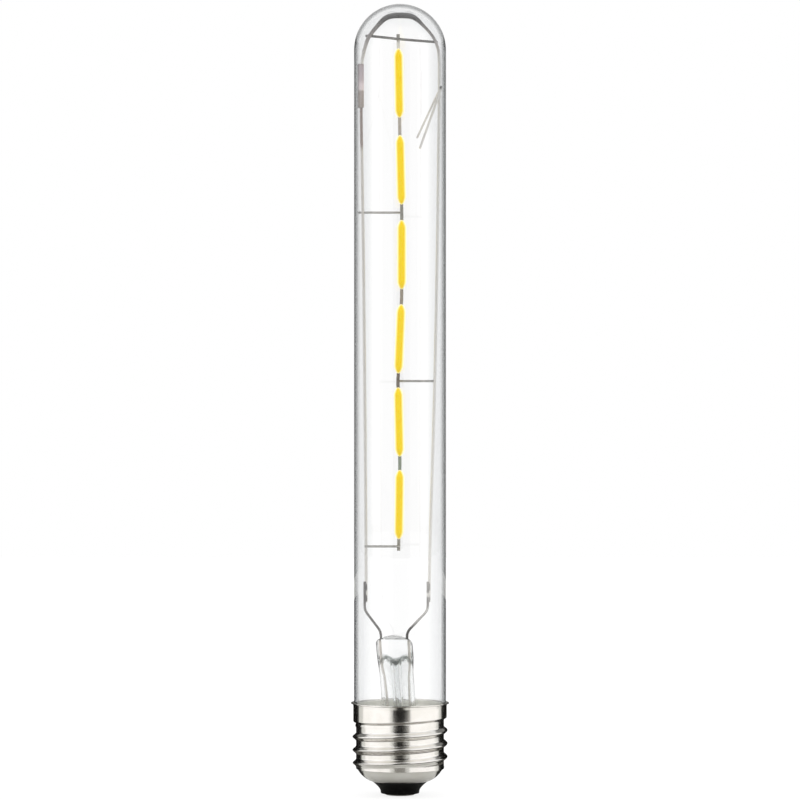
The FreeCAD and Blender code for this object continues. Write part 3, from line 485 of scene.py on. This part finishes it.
# Wires, tabs and tube whose tone changes with height: welds, flame and wear have coloured them, and some also
# carry painted highlight, reflection and shade. Columns: metallic, roughness, x from the side with painted
# shade to the plain one, (height in mm, tone) from the foot up
tintedFinishes = {
    # nickel wire: bright, browned by heat near the tube
    "heatTintedRod": (1.0, 0.32, None, (
        (53, "cfcdc8"), (177.5, "c2beb8"), (179, "877870"), (188, "7d6c64"), (194, "8a7d74"))),
    # nickel wire: bright, darker towards the bend and black on its crown
    "darkCrownArch": (1.0, 0.36, None, (
        (53, "e2e0db"), (110, "d6d4cf"), (202, "c8c6c1"), (205.5, "aeaaa6"), (208.5, "8d8886"),
        (212.4, "76716f"), (213.9, "242321"), (216, "100f0f"))),
    # dark grey, a little brighter by the weld
    "darkGreyCrossWire": (1.0, 0.4, None, (
        (205, "6f6d6a"), (208.3, "6a6865"), (208.9, "8c8a86"), (209.4, "5c5a58"), (211, "5c5a58"))),
    # pale, with a dark tip
    "paleSpringWire": (1.0, 0.3, None, (
        (176, "d9d7d3"), (194.0, "cfcdc8"), (194.8, "5b5957"), (196, "4a4947"))),
    # ceramic: matt pinkish brown, with a painted highlight in the middle and painted shade on its left
    "unglazedTube": (0.0, 0.6, (-11.75, -11.15), (
        (189.4, "8f8178"), (193.9, "95867e"), (194.4, "dccdd0"), (195.9, "d8c8cc"), (197, "b3a2a8"),
        (200.5, "a89aa0"), (201.5, "8f8184"))),
    # plated steel tabs: grey, with painted reflections that turn them grey to brown from joint to joint, palest
    # at the top
    "platedTabReflections": (1.0, 0.36, None, (
        (69, "98958c"), (91.8, "8d9688"), (114.4, "756c62"), (137.3, "9c9486"), (160.4, "94938c"),
        (184.1, "b9b2a7"), (205.8, "e2e0d8"), (207.7, "d6d4cc"), (208.4, "6f6d69"), (210.2, "8a8883"))),
    # leads: pale below the press, oxidised dark in it
    "leftLead": (1.0, 0.40, None, (
        (20, "dcd8d0"), (42.3, "d2ccc4"), (43, "6a6866"), (52, "7a7876"), (53.4, "585655"), (58, "585655"))),
    # the same, with pale welds
    "rightLead": (1.0, 0.40, None, (
        (20, "dcd8d0"), (42.3, "cac6be"), (43, "4a4846"), (46.3, "53514f"), (47.8, "a5a3a0"),
        (51.2, "c5c3c0"),
        (52.2, "93918f"), (54.4, "989694"), (54.9, "d8d6d2"), (55.6, "d8d6d2"), (56.1, "989694"),
        (58.4, "a8a6a3"))),
}

for name, (metal, rough, paintedShadeX, tones) in tintedFinishes.items():
    material, tree, shader = newMaterial(name, {"Metallic": metal, "Roughness": rough})
    place = addNode(tree, "ShaderNodeTexCoord")
    axes = addNode(tree, "ShaderNodeSeparateXYZ", {}, {0: place.outputs["Object"]})
    low, high = tones[0][0], tones[-1][0]
    along = addNode(tree, "ShaderNodeMapRange", {"From Min": low * mm, "From Max": high * mm},
                    {"Value": axes.outputs[2]})
    tone = addNode(tree, "ShaderNodeValToRGB", {}, {"Fac": along.outputs[0]},
                   [((height - low) / (high - low), shade) for height, shade in tones])
    grain = addNode(tree, "ShaderNodeTexNoise", {"Scale": perMm(0.8), "Detail": 4.0},
                    {"Vector": place.outputs["Object"]})
    share = addNode(tree, "ShaderNodeMapRange", {"To Min": 0.88, "To Max": 1.1}, {"Value": grain.outputs[0]})
    # painted shade: darkens one side, fading out over the given x span
    if paintedShadeX:
        paintedSideShade = addNode(tree, "ShaderNodeMapRange", {
            "From Min": paintedShadeX[0] * mm, "From Max": paintedShadeX[1] * mm, "To Min": 0.35},
            {"Value": axes.outputs[0]})
        share = addNode(tree, "ShaderNodeMath", {"operation": "MULTIPLY"},
                        {0: share.outputs[0], 1: paintedSideShade.outputs[0]})
    mixed = addNode(tree, "ShaderNodeVectorMath", {"operation": "SCALE"},
                    {0: tone.outputs[0], "Scale": share.outputs[0]})
    tree.links.new(mixed.outputs[0], shader.inputs["Base Color"])
    bump = addNode(tree, "ShaderNodeBump", {"Strength": 0.12, "Distance": 0.05 * mm},
                   {"Height": grain.outputs[0]})
    tree.links.new(bump.outputs[0], shader.inputs["Normal"])
    slotMaterials[name] = material

ownFinishes = {"lead_wire_left": "leftLead", "lead_wire_right": "rightLead"}
ownFinishes.update({"filament_%d_strip" % number: "platedTabReflections" for number in range(1, 7)})
for part in frame["record"]["subparts"]:
    node = frame["nodes"][part["node"]]
    material = slotMaterials[ownFinishes.get(part["node"], part["material_slot"])]
    if node.material_slots:
        for materialSlot in node.material_slots:
            materialSlot.material = material
    else:
        node.data.materials.append(material)

print("finishes done")


# Glass envelope: tube with a round end, drawn in to a neck inside the cap.
tube = {
    "sides": 160, "length": 218.0, "radius": 12.65, "wall": 0.8, "crown": 1.4,
    "seal": 15.0, "neckTop": 24.3, "neckBottom": 20.9, "neckRadius": 11.05,
    "neckSteps": 6, "domeSteps": 28, "domeEnd": 89, "middleRing": 0.4,
}


def neckPoints(outset):
    drop = tube["neckTop"] - tube["neckBottom"]
    step = tube["radius"] - tube["neckRadius"]
    bend = (drop ** 2 + step ** 2) / (4 * step)
    turn = math.degrees(math.asin(drop / 2 / bend))
    lower = ringPoints(tube["neckRadius"] + outset + bend, tube["neckBottom"], bend, 180, 180 - turn,
                       tube["neckSteps"])
    upper = ringPoints(tube["radius"] + outset - bend, tube["neckTop"], bend, -turn, 0, tube["neckSteps"])
    return lower + upper[1:]


def tubeProfile(inset, top):  # from the neck up to just short of the crown's middle
    radius = tube["radius"] - inset
    centre = top - radius
    dome = ringPoints(0, centre, radius, 0, tube["domeEnd"], tube["domeSteps"])
    return neckPoints(-inset) + [(radius, centre - tube["middleRing"] * tube["length"])] + dome


sealRing = (tube["neckRadius"] - tube["wall"], tube["seal"])
glass = startRing("glassTube", tube["sides"], *sealRing)
growRound(sealRing, [(tube["neckRadius"], tube["seal"])] + tubeProfile(0, tube["length"]))
bpy.ops.mesh.merge(type="CENTER")
pickRing(glass, *sealRing)
growRound(sealRing, tubeProfile(tube["wall"], tube["length"] - tube["crown"]))
bpy.ops.mesh.merge(type="CENTER")
closeUp(glass, 50)
finishPiece(glass, drawnGlass, "clear_glass", "glass_envelope")
print("glass tube done")


# Cap shell: bowl, rolled screw thread, collar and flared rim.
cap = {
    "sides": 160, "wall": 0.17, "step": 0.16, "rootRadius": 12.1, "crestRadius": 13.1, "pitch": 3.629,
    "threadStart": 7.1, "threadIn": (7.2, 9.2), "ridgeOut": (18.3, 20.0), "threadOut": 22.2,
    "ridgeReach": 1.2, "bowlHole": 7.6, "bowlBottom": 3.9, "bowlTop": 8.2, "bowlBulge": 0.75, "bowlSteps": 16,
    "collarBottom": 20.35, "collarWind": 0.55, "collarSlope": 0.7, "collarRadius": 12.87,
    "collarRings": (0.1, 0.6, 1.2, 1.8, 2.1, 2.4),
    "height": 25.6, "flareStart": 25.05, "flareSteps": 4, "flareCurve": 1.6, "flareEnd": 0.22,
    "rimRadius": 13.5,
    "rimRound": ((0.03, 0.05), (0.16, 0.0)),  # in from the rim's radius, down from its top
}


def rollShape(phase):  # 1 on the crest, down to 0 on the plain root
    away = abs((phase + 0.5) % 1 - 0.5) * cap["pitch"]
    return 1 - smooth(away, 0, cap["ridgeReach"])


def bowlProfile():
    width = cap["rootRadius"] - cap["bowlHole"]
    rise = cap["bowlTop"] - cap["bowlBottom"]
    chord = math.hypot(width, rise)
    bend = chord ** 2 / (8 * cap["bowlBulge"]) + cap["bowlBulge"] / 2
    middleX = (cap["rootRadius"] + cap["bowlHole"]) / 2 - rise / chord * (bend - cap["bowlBulge"])
    middleZ = (cap["bowlTop"] + cap["bowlBottom"]) / 2 + width / chord * (bend - cap["bowlBulge"])
    low = math.degrees(math.atan2(cap["bowlBottom"] - middleZ, cap["bowlHole"] - middleX))
    high = math.degrees(math.atan2(cap["bowlTop"] - middleZ, cap["rootRadius"] - middleX))
    return ringPoints(middleX, middleZ, bend, low, high, cap["bowlSteps"])


profile = bowlProfile()
height = cap["bowlTop"]
while height < cap["threadOut"] - cap["step"]:
    height += cap["step"]
    profile.append((cap["rootRadius"], height))
profile += [(cap["collarRadius"], cap["threadOut"] + rise) for rise in cap["collarRings"]]
for step in range(1, cap["flareSteps"] + 1):
    share = step / cap["flareSteps"]
    profile.append((cap["collarRadius"] + share ** cap["flareCurve"] * (cap["rimRadius"] - cap["collarRadius"]),
                    cap["flareStart"] + share * (cap["height"] - cap["flareStart"] - cap["flareEnd"])))
profile += [(cap["rimRadius"] - inward, cap["height"] - down) for inward, down in cap["rimRound"]]

shell = startRing("screwShell", cap["sides"], *profile[0])
growRound(profile[0], profile[1:])
bpy.ops.object.mode_set(mode="OBJECT")
for vertex in shell.data.vertices:  # the rolls press the thread into the plain sleeve
    x, y, z = vertex.co / mm
    radius = math.hypot(x, y)
    if cap["threadIn"][0] < z < cap["threadOut"]:
        turn = math.atan2(y, x) / (2 * math.pi)
        ridge = rollShape((z - cap["threadStart"]) / cap["pitch"] - turn)
        ridge *= smooth(z, *cap["threadIn"]) * (1 - smooth(z, *cap["ridgeOut"]))
        rolled = cap["rootRadius"] + ridge * (cap["crestRadius"] - cap["rootRadius"])
        # the collar's edge runs into the last turn
        edge = cap["collarBottom"] + cap["collarWind"] * x / radius
        collar = cap["rootRadius"] + smooth(z, edge, edge + cap["collarSlope"]) * (
            cap["collarRadius"] - cap["rootRadius"])
        rolled = max(rolled, collar)
        if rolled > radius:
            vertex.co.x *= rolled / radius
            vertex.co.y *= rolled / radius
bpy.ops.object.mode_set(mode="EDIT")
closeUp(shell, 60)
applyModifier(shell, "SOLIDIFY", thickness=cap["wall"] * mm, offset=-1)
bpy.ops.object.shade_smooth_by_angle(angle=math.radians(50))
finishPiece(shell, nickelPlate, "nickel_plate", "cap_shell")
print("cap shell done")


# Filament coats: one is modelled and copied, and each leans as its strip does.
coat = {
    "sides": 32, "length": 19.1, "radius": 1.26, "endRadius": 0.45, "taper": 2.2, "endSteps": 6,
    "tip": ((0.12, 0.01), (0.3375, 0.04)), "tipLength": 0.1, "tabs": 2.5,
    "topAndFootX": ((-0.5, -0.08), (-0.08, 0.48), (0.48, 0.45), (0.45, -0.55), (-0.55, -0.05),
                    (-0.05, -0.36)),
}

half = coat["length"] / 2
lower = [(radius, -half + rise) for radius, rise in coat["tip"]]
for step in range(1, coat["endSteps"] + 1):
    share = step / coat["endSteps"]
    bulge = math.sin(share * math.pi / 2)
    lower.append((coat["endRadius"] + (coat["radius"] - coat["endRadius"]) * bulge,
                  -half + coat["tipLength"] + share * coat["taper"]))
body = [(coat["radius"], half * share) for share in (-0.5, 0.0, 0.5)]
rings = lower + body + [(radius, -z) for radius, z in reversed(lower)]
firstCoat = startRing("filamentCoat1", coat["sides"], *rings[0])
growRound(rings[0], rings[1:])
bpy.ops.mesh.merge(type="CENTER")
pickRing(firstCoat, *rings[0])
bpy.ops.mesh.merge(type="CENTER")
closeUp(firstCoat, 80)

coats = [firstCoat]
for number in range(2, len(coat["topAndFootX"]) + 1):
    selectOnly(firstCoat)
    bpy.ops.object.duplicate()
    coats.append(bpy.context.object)
    coats[-1].name = coats[-1].data.name = "filamentCoat%d" % number

for number, (piece, (topX, footX)) in enumerate(zip(coats, coat["topAndFootX"]), 1):
    lowest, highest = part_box("filament_%d_coat" % number)
    stripFoot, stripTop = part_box("filament_%d_strip" % number)
    selectOnly(piece)
    piece.rotation_euler = (0, math.atan2(topX - footX, (stripTop.z - stripFoot.z) / mm - coat["tabs"]), 0)
    piece.location = (lowest + highest) / 2
    bpy.ops.object.transform_apply(location=True, rotation=True, scale=True)
    finishPiece(piece, phosphor, "phosphor_coat", "filament_%d_coat" % number)
print("filament coats done")


# Stem: flare, tube and press blown from one piece, with two lobes round the leads.
stem = {
    "sides": 72, "rimFoot": 14.2, "rimTop": 15.0, "rimRadius": 11.05, "mouth": 10.15, "throat": 20.45,
    "wall": 1.0, "lean": 4.2, "hollowFoot": 13.0, "flareSteps": 12, "lipAngle": 255,
    "jawsIn": (34.5, 38.5), "jawWidth": 5.05, "jawBulge": (0.35, 0.45),
    "topFrom": 44.1, "topWidth": 4.0, "archIn": (41.0, 44.2), "archDrop": 1.5,
    "lobeRadius": 0.95, "lobeHeight": 2.1, "lobeOffset": 2.45, "lobeTop": 38.65, "lobeSides": 32,
    "lobeRings": 20,
    "outside": [  # half width, half thickness, height
        (4.7, 4.7, 27.0), (4.7, 4.7, 33.2), (4.72, 4.6, 33.9), (4.80, 4.1, 34.9), (4.90, 3.3, 36.0),
        (4.98, 2.5, 37.0), (5.04, 2.05, 37.8), (5.05, 1.92, 38.6), (5.05, 1.9, 40.5), (5.05, 1.9, 42.6),
        (5.0, 1.82, 43.2), (4.82, 1.6, 43.7), (4.45, 1.2, 44.05), (4.0, 0.7, 44.2)],
    "inside": [
        (3.7, 3.7, 27.0), (3.7, 3.7, 33.0), (3.72, 3.4, 33.8), (3.78, 2.6, 34.9), (3.82, 1.6, 35.9),
        (3.8, 1.0, 36.5), (3.6, 0.7, 36.9), (3.3, 0.3, 37.1)],
}


def stemX(height):
    return -math.tan(math.radians(stem["lean"])) * max(height - stem["throat"], 0)


def leaned(rings):
    return [(width, depth, height, stemX(height)) for width, depth, height in rings]


flareBend = stem["throat"] - stem["rimTop"]
rim = (stem["rimRadius"], stem["rimFoot"])
flare = [(r, r, z) for r, z in ringPoints(
    stem["mouth"], stem["throat"], flareBend, 270, 180, stem["flareSteps"])]
pressed = startRing("stemPress", stem["sides"], *rim)
growRings((rim[0], rim[0], rim[1], 0),
          leaned([(stem["rimRadius"], stem["rimRadius"], stem["rimTop"])] + flare + stem["outside"]))
bpy.ops.mesh.edge_face_add()
pickRing(pressed, *rim)
bpy.ops.mesh.edge_face_add()
bpy.ops.object.mode_set(mode="OBJECT")
for vertex in pressed.data.vertices:  # jaws press the round tube flat sided, and its top edge arches
    x, y, z = vertex.co / mm
    flatness = smooth(z, *stem["jawsIn"])
    if flatness > 0:
        width = stem["topWidth"] if z > stem["topFrom"] else stem["jawWidth"]
        side = min(abs(x - stemX(z)) / width, 1.0)
        bulge = math.copysign(min(abs(y) * stem["jawBulge"][0], stem["jawBulge"][1]), y)
        vertex.co.y = (y + flatness * bulge * (1 - side ** 4)) * mm
        vertex.co.z = (z - smooth(z, *stem["archIn"]) * stem["archDrop"] * side ** 2) * mm
bpy.ops.object.mode_set(mode="EDIT")
closeUp(pressed, 50)

hollowFlare = [(r, r, z) for r, z in ringPoints(
    stem["mouth"], stem["throat"], flareBend + stem["wall"], stem["lipAngle"], 180, stem["flareSteps"])]
mouth = (hollowFlare[0][0], stem["hollowFoot"])
hollow = startRing("stemHollow", stem["sides"], *mouth)
growRings((mouth[0], mouth[0], mouth[1], 0), leaned(hollowFlare + stem["inside"]))
bpy.ops.mesh.edge_face_add()
pickRing(hollow, *mouth)
bpy.ops.mesh.edge_face_add()
closeUp(hollow, 50)
lobeMiddle = stem["lobeTop"] - stem["lobeHeight"]
for side in (-1, 1):
    bpy.ops.object.select_all(action="DESELECT")
    bpy.ops.mesh.primitive_uv_sphere_add(
        segments=stem["lobeSides"], ring_count=stem["lobeRings"], radius=stem["lobeRadius"] * mm,
        location=((stemX(lobeMiddle) + side * stem["lobeOffset"]) * mm, 0, lobeMiddle * mm))
    lobe = bpy.context.object
    bpy.ops.object.mode_set(mode="EDIT")
    bpy.ops.mesh.select_all(action="SELECT")
    bpy.ops.transform.resize(value=(1, 1, stem["lobeHeight"] / stem["lobeRadius"]),
                             center_override=tuple(lobe.location))
    bpy.ops.object.mode_set(mode="OBJECT")
    applyModifier(hollow, "BOOLEAN", object=lobe, operation="UNION", solver="EXACT")
    bpy.data.objects.remove(lobe)
applyModifier(pressed, "BOOLEAN", object=hollow, operation="DIFFERENCE", solver="EXACT")
bpy.data.objects.remove(hollow)
bpy.ops.object.shade_smooth_by_angle(angle=math.radians(50))
finishPiece(pressed, pressedGlass, "stem_glass", "stem_glass")


# Exhaust tube inside the stem, drawn off to a tip: radius and height, from its open top down.
exhaust = {
    "sides": 40, "mouth": (0.6, 37.2),
    "outside": [(1.4, 37.2), (1.4, 30.0), (1.4, 22.0), (1.4, 13.2), (1.3, 12.3), (1.0, 11.5), (0.6, 10.9),
                (0.25, 10.5), (0.1, 10.44)],
    "inside": [(0.6, 30.0), (0.6, 22.0), (0.6, 15.4), (0.5, 14.9), (0.3, 14.6), (0.1, 14.5)],
}

pipe = startRing("exhaustPipe", exhaust["sides"], *exhaust["mouth"])
growRound(exhaust["mouth"], exhaust["outside"])
bpy.ops.mesh.merge(type="CENTER")
pickRing(pipe, *exhaust["mouth"])
growRound(exhaust["mouth"], exhaust["inside"])
bpy.ops.mesh.merge(type="CENTER")
closeUp(pipe, 60)
throat = Vector((0, 0, stem["throat"] * mm))
pipe.rotation_euler = (0, -math.radians(stem["lean"]), 0)
pipe.location = throat - pipe.rotation_euler.to_matrix() @ throat
bpy.ops.object.transform_apply(location=True, rotation=True, scale=True)
finishPiece(pipe, pressedGlass, "stem_glass", "exhaust_tube")
print("stem done")


# Cement between neck and cap, up to the rim: radius and height, up its outside; its inside follows the neck.
cement = {
    "sides": 96, "neckGap": 0.02,
    "outside": [(11.75, 17.6), (11.75, 21.3), (12.69, 22.3), (12.69, 24.9), (12.69, 25.25)],
    "lip": (12.66, 25.2), "foot": (11.07, 17.6),
}

start = cement["outside"][0]
cementRing = startRing("cementRing", cement["sides"], *start)
growRound(start, cement["outside"][1:] + [cement["lip"]] + neckPoints(cement["neckGap"])[::-1]
          + [cement["foot"], start])
closeUp(cementRing, 40)
finishPiece(cementRing, slotMaterials["cement"], "cement", "basing_cement")
print("cement done")


# Wires: the frame, its upper cross wire and the spring.
# name: radius, finish, slot, node, points of the route in mm with the wire's swell there
wires = {
    "leftRod": (0.42, "heatTintedRod", "frame_wire", "frame_rod_left", [
        (-9.35, 0, 53.2), (-9.35, 0, 66.8), (-9.70, 0, 109.2), (-10.11, 0, 150.1), (-10.55, 0, 175.8),
        (-10.75, 0, 187.2), (-10.75, 0, 194.7)]),
    "hairpin": (0.42, "darkCrownArch", "frame_wire", "frame_hairpin", [
        (8.0, 0, 53.2), (8.11, 0, 65.3), (9.54, 0, 109.2), (10.34, 0, 151.6), (10.80, 0, 187.9),
        (10.90, 0, 200.0),
        (10.75, 0, 205.0, 1.0), (9.95, 0, 208.2, 1.0), (8.3, 0, 210.6, 1.0), (6.3, 0, 212.7, 1.1),
        (4.6, 0, 214.5, 1.75), (3.0, 0, 215.35, 2.15), (0.4, 0, 215.45, 2.15), (-2.4, 0, 215.4, 2.15),
        (-4.3, 0, 214.6, 1.9), (-6.2, 0, 212.5, 1.45), (-8.0, 0, 210.3, 1.35), (-9.2, 0, 208.4, 1.3),
        (-10.0, 0, 204.8, 1.2), (-10.7, 0, 201.3, 1.0), (-10.8, 0, 196.2, 1.0)]),
    "topCrossWire": (0.36, "darkGreyCrossWire", "support_wire", "top_cross_wire", [
        (-9.7, 0.95, 209.75), (-8.6, 0.95, 209.7), (-2.6, 0.8, 209.05), (-0.5, 0.78, 208.8),
        (2.5, 0.8, 208.55), (9.5, 0.85, 208.0), (10.6, 0.85, 207.9)]),
    "centringSpring": (0.32, "paleSpringWire", "support_wire", "centring_spring", [
        (5.31, -10.2, 177.6), (11.0, -1.09, 194.05), (11.38, -0.4, 195.1, 1.2), (11.38, 0.4, 195.1, 1.2),
        (11.0, 1.1, 194.3), (4.87, 10.38, 181.9)]),
}
wireSteps = {"around": 5, "along": 10}

for name, (radius, finish, slot, node, points) in wires.items():
    bpy.ops.object.select_all(action="DESELECT")
    bpy.ops.curve.primitive_nurbs_path_add(location=(0, 0, 0))
    wire = bpy.context.object
    wire.name = wire.data.name = name
    curve = wire.data
    curve.bevel_depth = radius * mm
    curve.bevel_resolution = wireSteps["around"]
    curve.resolution_u = wireSteps["along"]
    curve.use_fill_caps = True
    curve.splines.clear()
    spline = curve.splines.new("NURBS")
    spline.points.add(len(points) - 1)
    for point, (x, y, z, *swell) in zip(spline.points, points):
        point.co = (x * mm, y * mm, z * mm, 1)
        point.radius = swell[0] if swell else 1.0
    spline.use_endpoint_u = True
    spline.order_u = 3
    bpy.ops.object.convert(target="MESH")
    wire = bpy.context.object
    bpy.ops.object.mode_set(mode="EDIT")
    closeUp(wire, 50)
    finishPiece(wire, slotMaterials[finish], slot, node)
print("wires done")


# Ceramic tube over the meeting ends of the left rod and the hairpin.
sleeve = {
    "sides": 40, "middleX": -10.9, "bottom": 189.4, "top": 201.5, "radius": 0.92, "bore": 0.58,
    "round": 0.25, "roundSteps": 6, "boreFlare": 0.06, "boreFlareDepth": 0.1,
}

shoulder = sleeve["radius"] - sleeve["round"]
flared = sleeve["bore"] + sleeve["boreFlare"]
lowerEnd = ringPoints(shoulder, sleeve["bottom"] + sleeve["round"], sleeve["round"], 270, 360,
                      sleeve["roundSteps"])
upperEnd = ringPoints(shoulder, sleeve["top"] - sleeve["round"], sleeve["round"], 0, 90, sleeve["roundSteps"])
start = (sleeve["bore"], sleeve["bottom"] + sleeve["boreFlareDepth"])
ceramic = startRing("ceramicTube", sleeve["sides"], *start)
growRound(start, [(flared, sleeve["bottom"])] + lowerEnd
          + [(sleeve["radius"], (sleeve["bottom"] + sleeve["top"]) / 2)] + upperEnd
          + [(flared, sleeve["top"]), (sleeve["bore"], sleeve["top"] - sleeve["boreFlareDepth"]), start])
closeUp(ceramic, 60)
ceramic.location.x = sleeve["middleX"] * mm
bpy.ops.object.transform_apply(location=True, rotation=True, scale=True)
finishPiece(ceramic, slotMaterials["unglazedTube"], "insulator_ceramic", "insulator_tube")
print("ceramic tube done")


# Black insulator at the foot: radius and height, from the contact's pocket round the edge up to the bowl.
moulding = {
    "sides": 96,
    "rings": [(4.53, 1.0), (4.53, 0.66), (4.65, 0.6), (5.02, 0.6), (5.2, 0.65), (5.29, 0.75), (5.33, 0.95),
              (5.36, 1.3), (5.46, 1.65), (5.7, 2.05), (6.1, 2.55), (6.5, 2.95), (6.9, 3.3), (7.25, 3.6),
              (7.5, 3.8), (7.58, 3.88), (7.58, 4.6)],
}

start = moulding["rings"][0]
insulator = startRing("footInsulator", moulding["sides"], *start)
growRound(start, moulding["rings"][1:])
bpy.ops.mesh.edge_face_add()
pickRing(insulator, *start)
bpy.ops.mesh.edge_face_add()
closeUp(insulator, 40)
finishPiece(insulator, blackMoulding, "black_insulator", "cap_insulator")
print("insulator done")
